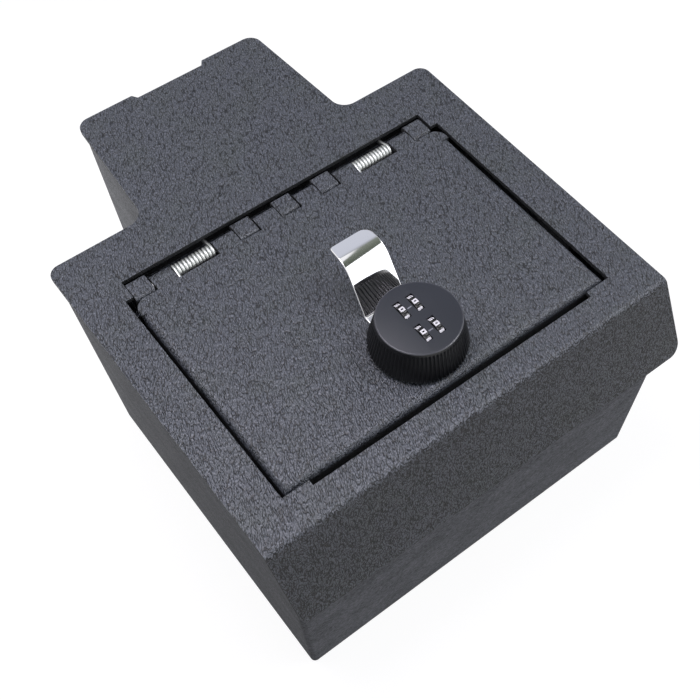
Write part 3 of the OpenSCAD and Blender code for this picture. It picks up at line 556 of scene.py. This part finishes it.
# Where the cells begin and end, in millimetres from the middle of a figure: a 1 has a slimmer stroke
COLUMNS = (-1.35, -0.42, 0.42, 1.35)
COLUMNS_OF_ONE = (-1.2, -0.65, 0.65, 1.2)
ROWS = (1.45, 0.72, 0.28, -0.28, -0.72, -1.45)
# The ink's underside and its face, from the wheel's own surface
INK_LOW, INK_HIGH = -0.02, 0.08
NUMBER_PITCH_DEG = 36
# How far the number on top stands from straight up
NUMBER_LEAN_DEG = -0.9
WHEEL_POINTS = 240
WHEEL_BORE_R = 1.55
WHEEL_EDGE = 0.32
NOTCH_DEPTH, NOTCH_WIDTH_DEG = 0.4, 5.5


def figure(number, spin):
    """A printed number, laid on a wheel at an angle with its top towards the wheel's left."""
    columns = COLUMNS_OF_ONE if number == 1 else COLUMNS
    verts, faces = [], []
    for cell, filled in enumerate(FIGURES[number]):
        if filled == "1":
            row, column = divmod(cell, 3)
            top, bottom, first, last = ROWS[row], ROWS[row + 1], columns[column], columns[column + 1]
            section = ((top, INK_LOW), (top, INK_HIGH), (bottom, INK_HIGH), (bottom, INK_LOW))
            rings = []
            for step in range(4):
                turn = spin + (first + (last - first) * step / 3) / WHEEL_R
                rings.append([on_wheel(turn, WHEEL_R + r, -y) for y, r in section])
            block, sides = loft(rings)
            faces += [tuple(k + len(verts) for k in side) for side in sides]
            verts += block
    return verts, faces


def wheel(index, x, y):
    """A number wheel: black, notched between its numbers, with white printed numbers."""
    turns = all_round(WHEEL_POINTS)
    dips = []
    for a in turns:
        from_notch = math.degrees(a) % NUMBER_PITCH_DEG - NUMBER_PITCH_DEG / 2
        dips.append(NOTCH_DEPTH * math.exp(-(from_notch / NOTCH_WIDTH_DEG) ** 2))
    half, edge, soft = WHEEL_T / 2, WHEEL_EDGE, WHEEL_EDGE * 0.3
    rings = [[on_wheel(a, WHEEL_BORE_R, -half) for a in turns]]
    for along, inset in ((-half, edge), (-half + soft, soft), (-half + edge, 0.0),
                         (half - edge, 0.0), (half - soft, soft), (half, edge)):
        rings.append([on_wheel(a, WHEEL_R - inset - d, along) for a, d in zip(turns, dips)])
    rings.append([on_wheel(a, WHEEL_BORE_R, half) for a in turns])
    verts, faces = loft(rings + [rings[0]], closed_ends=False)
    body = add_mesh("wheel_%d_black" % index, verts, faces, WHEEL, sharp_deg=50)
    # The last ring is the first again, so their points are joined
    work = bmesh.new()
    work.from_mesh(body.data)
    bmesh.ops.remove_doubles(work, verts=work.verts, dist=1e-7)
    work.to_mesh(body.data)
    work.free()
    place = Matrix.Translation(KNOB + Vector((x, y, WHEEL_Z)) * MM)
    body.matrix_world = place
    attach(body, "wheel_%d" % index)
    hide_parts("dial_%d" % index)
    # The numbers read from the wheel's right: their tops point left, and they count up towards the front
    for number in range(10):
        spin = math.radians(NUMBER_LEAN_DEG) - number * math.radians(NUMBER_PITCH_DEG)
        verts, faces = figure(number, spin)
        digit = add_mesh("wheel_%d_number_%d" % (index, number), verts, faces, INK, sharp_deg=40)
        digit.matrix_world = place
        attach(digit, "wheel_%d" % index)


def index_marks():
    """A short grey mark on the knob between the two wheels of each pair."""
    half_x, half_y, low, high = 1.35, 0.33, 21.5, 21.64
    corners = ((-half_x, -half_y), (half_x, -half_y), (half_x, half_y), (-half_x, half_y))
    for number, middle_y in enumerate((7.9, -9.7)):
        rings = [[(x, middle_y + y, z) for x, y in corners] for z in (low, high)]
        mark = add_mesh("index_mark_%d" % number, *loft(rings), FADED_INK)
        mark.matrix_world = Matrix.Translation(KNOB)
        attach(mark, "knob")


# The lift tab

# Millimetres: heights over the door, and distances to the rear of the knob's middle
TAB_THICK, TAB_HEIGHT = 2.0, 27.4
TAB_FRONT, TAB_FLAT = 17.0, 7.8
TAB_SLOPE_DEG = 56.5
LOW_BEND_R, HIGH_BEND_R = 2.0, 13.0
LEFT_CORNER_R, RIGHT_CORNER_R = 1.4, 5.5
ROOT_HALF, TIP_HALF = 14.8, 12.4
# The front end, under the knob, is half an ellipse of this half width on a blunt edge of the second
ELLIPSE_HALF, BLUNT_HALF = 13.8, 1.0
TAB_EDGE = 0.4


def lift_tab():
    """A bent chromed strip: flat under the knob, up its slope, and flat again at the tip."""
    slope = math.radians(TAB_SLOPE_DEG)
    fold = math.tan(slope / 2)
    low = KNOB_BASE_R + LOW_BEND_R * fold
    high = low + (TAB_HEIGHT - TAB_THICK) / math.tan(slope)
    flat_start = high + HIGH_BEND_R * fold
    reach = flat_start + TAB_FLAT
    # Stations along the strip: how far out, how high its upper face is, and its slope there
    path = [(-TAB_FRONT * math.cos(math.radians(9 * i)), TAB_THICK, 0.0) for i in range(11)]
    path += [(12.0, TAB_THICK, 0.0), (22.0, TAB_THICK, 0.0)]
    for i in range(13):
        a = slope * i / 12
        path.append((low - LOW_BEND_R * fold + LOW_BEND_R * math.sin(a),
                     TAB_THICK + LOW_BEND_R * (1 - math.cos(a)), a))
    foot = path[-1]
    crest = (high - HIGH_BEND_R * fold * math.cos(slope), TAB_HEIGHT - HIGH_BEND_R * fold * math.sin(slope))
    path += [(foot[0] + (crest[0] - foot[0]) * t, foot[1] + (crest[1] - foot[1]) * t, slope)
             for t in (0.25, 0.5, 0.75)]
    for i in range(33):
        a = slope * (1 - i / 32)
        path.append((flat_start - HIGH_BEND_R * math.sin(a), TAB_HEIGHT - HIGH_BEND_R * (1 - math.cos(a)), a))
    past_corner = reach - RIGHT_CORNER_R
    path += [(flat_start + (past_corner - flat_start) * t, TAB_HEIGHT, 0.0) for t in (0.5, 1.0)]
    # Stations round both corners of the tip
    steps = [RIGHT_CORNER_R * math.sin(math.radians(9 * i)) for i in range(1, 10)]
    steps += [RIGHT_CORNER_R - LEFT_CORNER_R + LEFT_CORNER_R * math.sin(math.radians(15 * i))
              for i in range(1, 6)]
    path += [(past_corner + s, TAB_HEIGHT, 0.0) for s in sorted(set(steps + [RIGHT_CORNER_R]))]

    def half_width(y, corner_r):
        """Half the strip's width on the side whose corner at the tip has this radius."""
        if y < 0:
            return ELLIPSE_HALF * math.sqrt(max(1 - (y / TAB_FRONT) ** 2, 0.0)) + BLUNT_HALF
        half = ROOT_HALF + (TIP_HALF - ROOT_HALF) * y / reach
        past = y - (reach - corner_r)
        return half + math.sqrt(max(corner_r ** 2 - past ** 2, 0)) - corner_r if past > 0 else half

    # Points round the strip's section: the side, the distance in from its edge, the depth below the top
    edge, soft, crown = TAB_EDGE, TAB_EDGE * 0.3, TAB_EDGE * 1.3
    outline = ((-1, 0, edge), (-1, soft, soft), (-1, edge, 0), (-1, crown, 0), (0, 0, 0), (1, crown, 0),
               (1, edge, 0), (1, soft, soft), (1, 0, edge), (1, 0, TAB_THICK - edge), (1, edge, TAB_THICK),
               (-1, edge, TAB_THICK), (-1, 0, TAB_THICK - edge))
    rings = []
    for y, z, a in path:
        half_at = {-1: half_width(y, LEFT_CORNER_R), 0: 0.0, 1: half_width(y, RIGHT_CORNER_R)}
        rings.append([(side * (half_at[side] - inset), y + math.sin(a) * depth, z - math.cos(a) * depth)
                      for side, inset, depth in outline])
    tab = add_mesh("chromed_tab", *loft(rings), CHROME, sharp_deg=45)
    tab.matrix_world = Matrix.Translation(KNOB)
    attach(tab, "door")
    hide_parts("lift_tab")


# The springs

# Millimetres, and places to the rear of the hinge's middle line
WIRE_R, WIRE_SIDES, COIL_R = 1.1, 14, 4.1
COIL_PITCH, COIL_TURNS, POINTS_PER_TURN = 2.27, 11, 28
# The line's depth under the plate's face, and a leg's height over it, just under the sheet
LINE_DEPTH, SHEET, LEG_GAP = 5.3, 2.7, 0.3
LEG_Z = LINE_DEPTH - SHEET - WIRE_R - LEG_GAP
DOOR_EDGE = -7.6
FRONT_LEG = (-26.0, -22.0, -14.0, DOOR_EDGE - 1.5, DOOR_EDGE)
SLOT_BACK = 9.1
REAR_LEG_END = SLOT_BACK + 4.5


def touching_lean(y, z):
    """How far a line leans that passes a point and touches the coil's middle circle."""
    return math.asin(COIL_R / math.hypot(y, z)) - math.atan2(z, y)


def spring(name, node, x):
    """A zinc torsion spring: its left leg lies under the door, its right leg under the plate."""
    length = COIL_TURNS * COIL_PITCH
    rear_lean = touching_lean(SLOT_BACK, LEG_Z)
    start = math.pi / 2 + touching_lean(-DOOR_EDGE, LEG_Z)
    stop = math.pi / 2 - rear_lean - math.tau * COIL_TURNS
    steps = round((start - stop) / math.tau * POINTS_PER_TURN)
    path = [Vector((-length / 2, y, LEG_Z)) for y in FRONT_LEG]
    for i in range(steps + 1):
        a = start + (stop - start) * i / steps
        path.append(Vector((length * (i / steps - 0.5), COIL_R * math.cos(a), COIL_R * math.sin(a))))
    # The rear leg leaves the coil here and runs straight to its end
    y0, z0 = COIL_R * math.sin(rear_lean), COIL_R * math.cos(rear_lean)
    for t in (0.35, 0.7, 1.0):
        y = y0 + (REAR_LEG_END - y0) * t
        path.append(Vector((length / 2, y, z0 - (y - y0) * math.tan(rear_lean))))
    coil = tube(name, path, WIRE_R, WIRE_SIDES)
    coil.data.transform(Matrix.Translation((x * MM, HINGE.y, HINGE.z)))
    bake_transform(coil)
    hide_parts(node)


add_camera()
add_world()
add_floor()
soft_lamp("overhead_softbox", where=(-0.14, 0.1, 0.8), target=(-0.12, -0.05, 0.15), size=(0.4, 0.4),
          power=2.6, colour="#f9f2ff")
soft_lamp("key_softbox", where=(1.35, -0.75, 2.15), target=(1.35, -0.75, 0), size=(0.5, 1.2),
          power=21.0, colour="#f6f5ff")
soft_lamp("front_panel", where=(0.6, -1.4, 0.5), target=(0, 0, 0.15), size=(1.2, 0.9),
          power=2.8, colour="#f2f5ff")
# Low enough to reach the walls and not the plate
soft_lamp("rear_left_panel", where=(-0.24, 0.27, 0.08), target=(-0.07, 0.11, 0.08), size=(0.12, 0.1),
          power=0.25, colour="#ffffff")

for node in ("top_plate", "hinge_rail", "latch_keeper", "door_rests"):
    softened(node, "case", "coat", edge_mm=0.25)
softened("hinge_blocks", "case", "coat", edge_mm=0.2)
softened("door_panel", "door", "coat", edge_mm=0.2)
for node in ("wall_wrap", "tongue_wrap", "floor_plate"):
    softened(node, "case", "wall_coat", edge_mm=0.25)
knob_grip()
for i, (side_x, side_y) in enumerate(((-1, 1), (1, 1), (-1, -1), (1, -1)), 1):
    wheel(i, side_x * WHEEL_X, side_y * WHEEL_Y)
index_marks()
lift_tab()
spring("spring_coil_left", "spring_left", x=-64.4)
spring("spring_coil_right", "spring_right", x=62.6)

slots = {s["node"]: s["material_slot"] for s in frame["record"]["subparts"]}
for node, obj in frame["nodes"].items():
    if not obj.hide_render:
        obj.data.materials.clear()
        obj.data.materials.append(FINISH_OF[slots[node]])

bpy.context.scene.view_settings.view_transform = "Standard"
